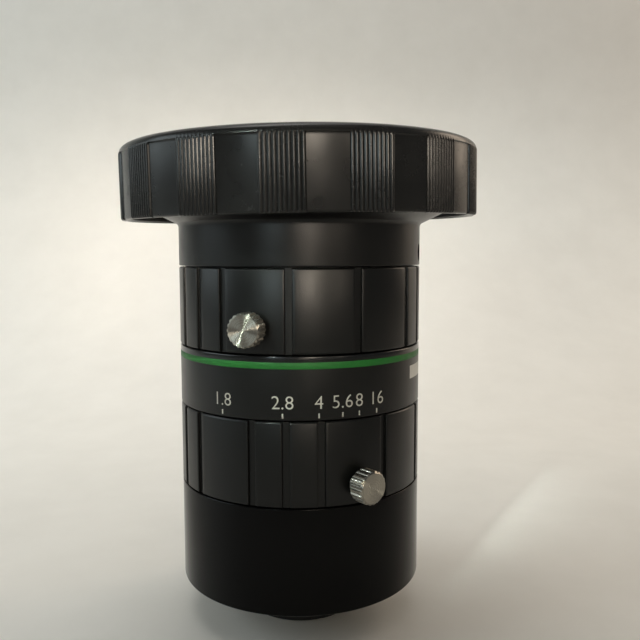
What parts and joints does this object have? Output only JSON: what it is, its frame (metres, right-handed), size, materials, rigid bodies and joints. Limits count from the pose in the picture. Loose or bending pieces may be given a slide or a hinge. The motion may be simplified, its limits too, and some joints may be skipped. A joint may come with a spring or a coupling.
{
  "type": "machine vision lens",
  "caption": "C-mount machine vision lens with knurled lock screws on its focus and iris rings, a working leaf iris and a ribbed push-on front cap.",
  "frame": {"origin": "centre of the C-mount flange face", "axes": "+Z along the lens axis towards the front; -Y is the side of the two lock screws"},
  "size_m": [0.0566, 0.0568, 0.0761],
  "materials": {
    "black_satin": "matte black anodised, fine blasted",
    "black_smooth": "semi-gloss black anodised",
    "black_inner": "dull black anodised",
    "mount_metal": "black anodised",
    "screw_steel": "turned, satin",
    "small_steel": "blackened",
    "brass": "turned",
    "blade_steel": "blued, satin",
    "glass": "polished and coated",
    "cap_plastic": "glossy moulded"
  },
  "bodies": {
    "barrel": {"main_barrel": "black_satin", "front_barrel": "black_satin", "filter_ring": "black_satin", "rear_barrel": "black_smooth", "c_mount_ring": "mount_metal", "rear_cell": "black_inner", "neck_set_screw": "small_steel", "guide_screw": "small_steel", "rear_element": "glass", "rear_spacer": "black_inner", "rear_middle_element": "glass", "rear_front_spacer": "black_inner", "rear_front_element": "glass", "rear_retainer": "black_inner"},
    "focus": {"focus_ring": "black_satin", "focus_drive_pin": "small_steel"},
    "focus_lock": {"focus_lock_screw": "screw_steel"},
    "iris": {"iris_ring": "black_satin", "iris_drive_pin": "small_steel"},
    "iris_lock": {"iris_lock_screw": "screw_steel"},
    "optics": {"optics_sleeve": "black_inner", "front_cell": "black_inner", "front_element": "glass", "front_retainer": "black_inner", "second_element": "glass", "second_retainer": "black_inner", "front_spacer": "black_inner", "third_element": "glass", "middle_spacer": "black_inner", "fourth_element": "glass", "iris_spacer": "black_inner", "iris_housing": "black_inner", "iris_retainer": "black_inner"},
    "iris_cam": {"iris_cam_ring": "brass"},
    "cap": {"front_cap": "cap_plastic"},
    "blade_1": {"iris_blade_1": "blade_steel"},
    "blade_2": {"iris_blade_2": "blade_steel"},
    "blade_3": {"iris_blade_3": "blade_steel"},
    "blade_4": {"iris_blade_4": "blade_steel"},
    "blade_5": {"iris_blade_5": "blade_steel"},
    "blade_6": {"iris_blade_6": "blade_steel"}
  },
  "joints": [
    {"name": "focus_turn", "type": "hinge", "parent": "barrel", "child": "focus", "pos_m": [0, 0, 0.0442], "axis": [0, 0, 1], "range_deg": [0, 110]},
    {"name": "focus_slide", "type": "slide", "parent": "barrel", "child": "optics", "axis": [0, 0, 1], "range_m": [0, 0.0007]},
    {"name": "focus_lock_turn", "type": "hinge", "parent": "focus", "child": "focus_lock", "pos_m": [-0.00654, -0.01837, 0.04185], "axis": [-0.3355, -0.9421, 0], "range_deg": [0, 360]},
    {"name": "iris_turn", "type": "hinge", "parent": "barrel", "child": "iris", "pos_m": [0, 0, 0.0224], "axis": [0, 0, 1], "range_deg": [-61, 9]},
    {"name": "iris_lock_turn", "type": "hinge", "parent": "iris", "child": "iris_lock", "pos_m": [0.00799, -0.01779, 0.01937], "axis": [0.6046, -0.7965, 0], "range_deg": [0, 360]},
    {"name": "iris_cam_turn", "type": "hinge", "parent": "optics", "child": "iris_cam", "pos_m": [0, 0, 0.0216], "axis": [0, 0, 1], "range_deg": [-61, 9]},
    {"name": "blade_1_swing", "type": "hinge", "parent": "optics", "child": "blade_1", "pos_m": [0.0104, 0, 0.0203], "axis": [0, 0, 1], "range_deg": [-22.78, 3.36]},
    {"name": "blade_2_swing", "type": "hinge", "parent": "optics", "child": "blade_2", "pos_m": [0.0052, 0.00901, 0.0203], "axis": [0, 0, 1], "range_deg": [-22.78, 3.36]},
    {"name": "blade_3_swing", "type": "hinge", "parent": "optics", "child": "blade_3", "pos_m": [-0.0052, 0.00901, 0.0203], "axis": [0, 0, 1], "range_deg": [-22.78, 3.36]},
    {"name": "blade_4_swing", "type": "hinge", "parent": "optics", "child": "blade_4", "pos_m": [-0.0104, 0, 0.0203], "axis": [0, 0, 1], "range_deg": [-22.78, 3.36]},
    {"name": "blade_5_swing", "type": "hinge", "parent": "optics", "child": "blade_5", "pos_m": [-0.0052, -0.00901, 0.0203], "axis": [0, 0, 1], "range_deg": [-22.78, 3.36]},
    {"name": "blade_6_swing", "type": "hinge", "parent": "optics", "child": "blade_6", "pos_m": [0.0052, -0.00901, 0.0203], "axis": [0, 0, 1], "range_deg": [-22.78, 3.36]},
    {"name": "cap_slide", "type": "slide", "parent": "barrel", "child": "cap", "axis": [0, 0, 1], "range_m": [0, 0.025]}
  ],
  "couplings": [
    {"joint": "focus_turn", "follows": "focus_slide", "rad_per_m": 2742.7},
    {"joint": "iris_cam_turn", "follows": "iris_turn", "ratio": 1},
    {"joint": "blade_1_swing", "follows": "iris_turn", "ratio": 0.37343},
    {"joint": "blade_2_swing", "follows": "iris_turn", "ratio": 0.37343},
    {"joint": "blade_3_swing", "follows": "iris_turn", "ratio": 0.37343},
    {"joint": "blade_4_swing", "follows": "iris_turn", "ratio": 0.37343},
    {"joint": "blade_5_swing", "follows": "iris_turn", "ratio": 0.37343},
    {"joint": "blade_6_swing", "follows": "iris_turn", "ratio": 0.37343}
  ]
}
